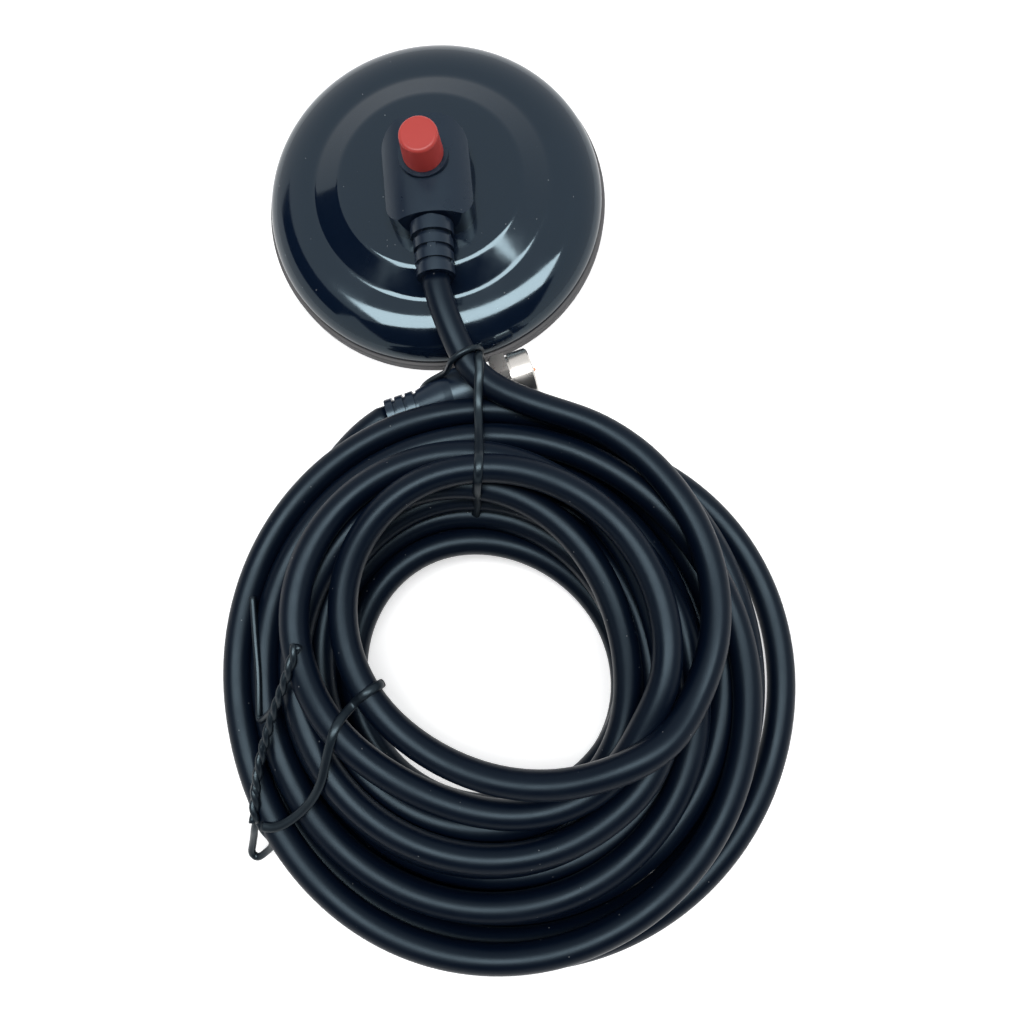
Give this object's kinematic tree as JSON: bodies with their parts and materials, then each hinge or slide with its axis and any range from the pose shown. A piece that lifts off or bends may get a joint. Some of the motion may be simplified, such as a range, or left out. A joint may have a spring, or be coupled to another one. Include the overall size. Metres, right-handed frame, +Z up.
{
  "type": "television antenna magnetic base with coiled coaxial lead",
  "caption": "Round magnetic base for a television antenna: enamelled steel disc, moulded block with a capped threaded jack, and a coiled coaxial lead ending in a screw-on plug.",
  "frame": {"origin": "centre of the base's flat underside, where it stands on a surface", "axes": "+Z up through the capped jack; the lead leaves the block towards -Y; +X to the right of someone who looks along +Y"},
  "size_m": [0.122, 0.2256, 0.0328],
  "materials": {
    "cover_enamel": "high gloss black enamel",
    "pad_rubber": "matte, slightly dusty",
    "ferrite": "dull sintered grey",
    "zinc_steel": "zinc plated",
    "block_plastic": "satin moulded black",
    "gilt_brass": "gold flashed brass",
    "white_insulator": "waxy white",
    "nickel": "bright nickel plate",
    "copper": "bare copper",
    "relief_vinyl": "satin black moulded vinyl",
    "cap_vinyl": "soft red vinyl",
    "jacket_vinyl": "semi matte black cable jacket",
    "tie_vinyl": "black vinyl coated tie wire"
  },
  "bodies": {
    "base": {"base_cover": "cover_enamel", "base_pad": "pad_rubber", "ring_magnet": "ferrite", "pole_plate": "zinc_steel", "mount_block": "block_plastic", "block_screws": "zinc_steel", "jack_body": "gilt_brass", "jack_washer": "zinc_steel", "jack_nut": "gilt_brass", "jack_insulator": "white_insulator", "jack_contact": "gilt_brass", "crimp_sleeve": "nickel", "cable_end": "white_insulator", "centre_wire": "copper", "strain_relief": "relief_vinyl", "lead_cable": "jacket_vinyl", "cable_coil": "jacket_vinyl", "tail_cable": "jacket_vinyl", "plug_boot": "relief_vinyl", "plug_sleeve": "nickel", "plug_dielectric": "white_insulator", "plug_pin": "copper", "tie_top": "tie_vinyl", "tie_side": "tie_vinyl"},
    "cap": {"dust_cap": "cap_vinyl"},
    "nut": {"plug_nut": "nickel"}
  },
  "joints": [
    {"name": "cap_pull", "type": "slide", "parent": "base", "child": "cap", "axis": [0, 0, 1], "range_m": [0, 0.014]},
    {"name": "nut_turn", "type": "hinge", "parent": "base", "child": "nut", "pos_m": [-0.0156, -0.0561, 0.0065], "axis": [0.9744, 0.225, 0], "continuous": true}
  ]
}
